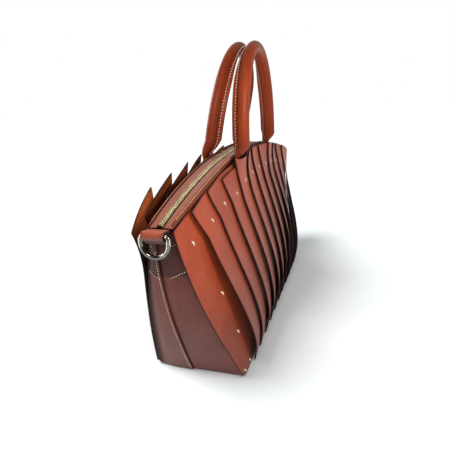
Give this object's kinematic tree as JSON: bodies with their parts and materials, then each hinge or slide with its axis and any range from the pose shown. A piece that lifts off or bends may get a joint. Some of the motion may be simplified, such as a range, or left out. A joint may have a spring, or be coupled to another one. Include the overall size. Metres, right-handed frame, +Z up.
{
  "type": "tote bag",
  "caption": "Zipped leather tote bag with overlapping vertical leather slats on both faces, two rolled arch handles and a swinging D-ring at each end.",
  "frame": {"origin": "centre of the footprint, on the ground under the base", "axes": "+X along the bag towards its far end, -Y out of the front, +Z up"},
  "size_m": [0.432, 0.1044, 0.2879],
  "materials": {
    "tan_leather": "satin",
    "dark_leather": "satin",
    "webbing": "woven",
    "brass": "satin",
    "ring_metal": "polished"
  },
  "bodies": {
    "bag": {"front_slat_01": "tan_leather", "front_slat_02": "tan_leather", "front_slat_03": "tan_leather", "front_slat_04": "tan_leather", "front_slat_05": "tan_leather", "front_slat_06": "tan_leather", "front_slat_07": "tan_leather", "front_slat_08": "tan_leather", "front_slat_09": "tan_leather", "front_slat_10": "tan_leather", "front_slat_11": "tan_leather", "front_slat_12": "tan_leather", "back_slat_01": "tan_leather", "back_slat_02": "tan_leather", "back_slat_03": "tan_leather", "back_slat_04": "tan_leather", "back_slat_05": "tan_leather", "back_slat_06": "tan_leather", "back_slat_07": "tan_leather", "back_slat_08": "tan_leather", "back_slat_09": "tan_leather", "back_slat_10": "tan_leather", "back_slat_11": "tan_leather", "back_slat_12": "tan_leather", "front_placket": "tan_leather", "back_placket": "tan_leather", "handle_front": "tan_leather", "handle_back": "tan_leather", "ring_tab_near": "tan_leather", "ring_tab_far": "tan_leather", "base_panel": "dark_leather", "front_panel": "dark_leather", "back_panel": "dark_leather", "gusset_near_front": "dark_leather", "gusset_near_back": "dark_leather", "gusset_far_front": "dark_leather", "gusset_far_back": "dark_leather", "zip_tape_front": "webbing", "zip_tape_back": "webbing", "zip_teeth": "brass", "zip_slider": "brass"},
    "near_ring": {"d_ring_near": "ring_metal"},
    "far_ring": {"d_ring_far": "ring_metal"}
  },
  "joints": [
    {"name": "near_ring_swing", "type": "hinge", "parent": "bag", "child": "near_ring", "pos_m": [-0.2125, 0, 0.149], "axis": [0, 1, 0], "range_deg": [-12, 220]},
    {"name": "far_ring_swing", "type": "hinge", "parent": "bag", "child": "far_ring", "pos_m": [0.2125, 0, 0.149], "axis": [0, -1, 0], "range_deg": [-12, 220]}
  ]
}
